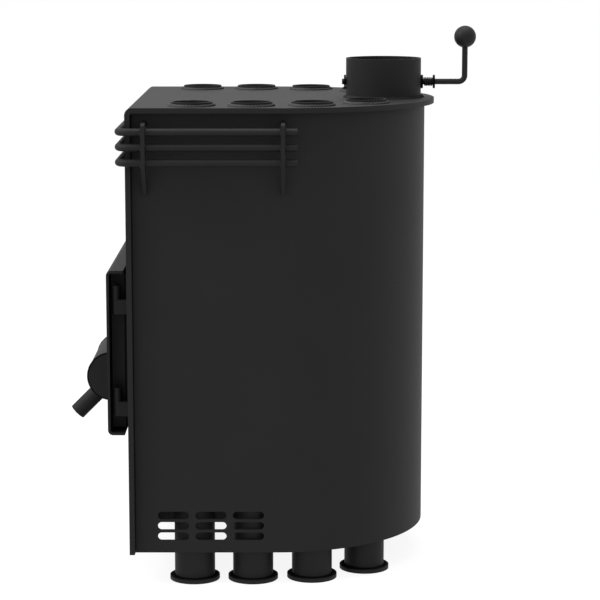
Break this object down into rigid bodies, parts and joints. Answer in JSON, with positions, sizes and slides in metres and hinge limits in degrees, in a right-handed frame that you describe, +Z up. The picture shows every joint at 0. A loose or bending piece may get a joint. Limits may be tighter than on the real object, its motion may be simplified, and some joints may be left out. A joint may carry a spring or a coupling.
{
  "type": "convection wood stove",
  "caption": "Upright convection wood stove with air tubes, rounded casing, drying rack, sprung flue damper, side-hinged door and rotary air regulator.",
  "frame": {"origin": "bottom centre of the overall box, on the floor under the stove", "axes": "+Z up, the door faces -Y, the flue and damper knob are towards +Y, +X is the side with the door's hinges"},
  "size_m": [0.558, 0.6556, 0.8531],
  "materials": {
    "steel_paint": "matte black heat-resistant stove paint",
    "weld_paint": "matte black paint over rippled weld beads",
    "cast_iron": "dark rough cast iron",
    "knob_black": "smooth satin black heat-resistant resin",
    "rope": "grey braided glass rope",
    "plain_steel": "dark heat-blued bare steel"
  },
  "bodies": {
    "stove": {"front_panel": "steel_paint", "top_panel": "steel_paint", "casing": "steel_paint", "firebox_wall": "steel_paint", "firebox_floor": "steel_paint", "grate": "cast_iron", "grate_bars": "steel_paint", "baffle": "steel_paint", "baffle_bars": "steel_paint", "tube_left_1": "steel_paint", "tube_left_2": "steel_paint", "tube_left_3": "steel_paint", "tube_left_4": "steel_paint", "tube_right_1": "steel_paint", "tube_right_2": "steel_paint", "tube_right_3": "steel_paint", "tube_right_4": "steel_paint", "foot_rings": "steel_paint", "foot_beads": "weld_paint", "outlet_beads": "weld_paint", "flue_collar": "steel_paint", "flue_bead_ring": "weld_paint", "damper_washer_inner": "plain_steel", "rail_upper": "steel_paint", "rail_middle": "steel_paint", "rail_lower": "steel_paint", "bracket_left_front": "steel_paint", "bracket_left_rear": "steel_paint", "bracket_right_front": "steel_paint", "bracket_right_rear": "steel_paint", "rack_beads": "weld_paint", "door_frame": "steel_paint", "hinge_blocks": "steel_paint", "hinge_pins": "plain_steel", "latch_keeper": "steel_paint"},
    "damper": {"damper_rod": "steel_paint", "damper_disc": "steel_paint", "damper_bolts": "plain_steel", "damper_knob": "knob_black", "damper_spring": "plain_steel", "damper_washer_outer": "plain_steel", "damper_washer_front": "plain_steel"},
    "door": {"door_cover": "steel_paint", "door_inner": "steel_paint", "door_gasket": "rope", "door_spacers": "steel_paint", "hinge_barrels": "steel_paint", "drum_housing": "steel_paint", "drum_caps": "steel_paint", "latch_bush": "steel_paint"},
    "air_regulator": {"air_shutter": "steel_paint", "air_handle": "steel_paint"},
    "latch": {"latch_shaft": "plain_steel", "latch_lever": "steel_paint", "latch_tongue": "steel_paint"}
  },
  "joints": [
    {"name": "door_hinge", "type": "hinge", "parent": "stove", "child": "door", "pos_m": [0.189, -0.23648, 0.36], "axis": [0, 0, 1], "range_deg": [0, 105]},
    {"name": "damper_turn", "type": "hinge", "parent": "stove", "child": "damper", "pos_m": [0, 0.18032, 0.7641], "axis": [0, 1, 0], "range_deg": [0, 90]},
    {"name": "air_turn", "type": "hinge", "parent": "door", "child": "air_regulator", "pos_m": [0, -0.25428, 0.3004], "axis": [-1, 0, 0], "range_deg": [0, 35]},
    {"name": "latch_turn", "type": "hinge", "parent": "door", "child": "latch", "pos_m": [-0.186, -0.23598, 0.35815], "axis": [0, 1, 0], "range_deg": [0, 90]}
  ]
}
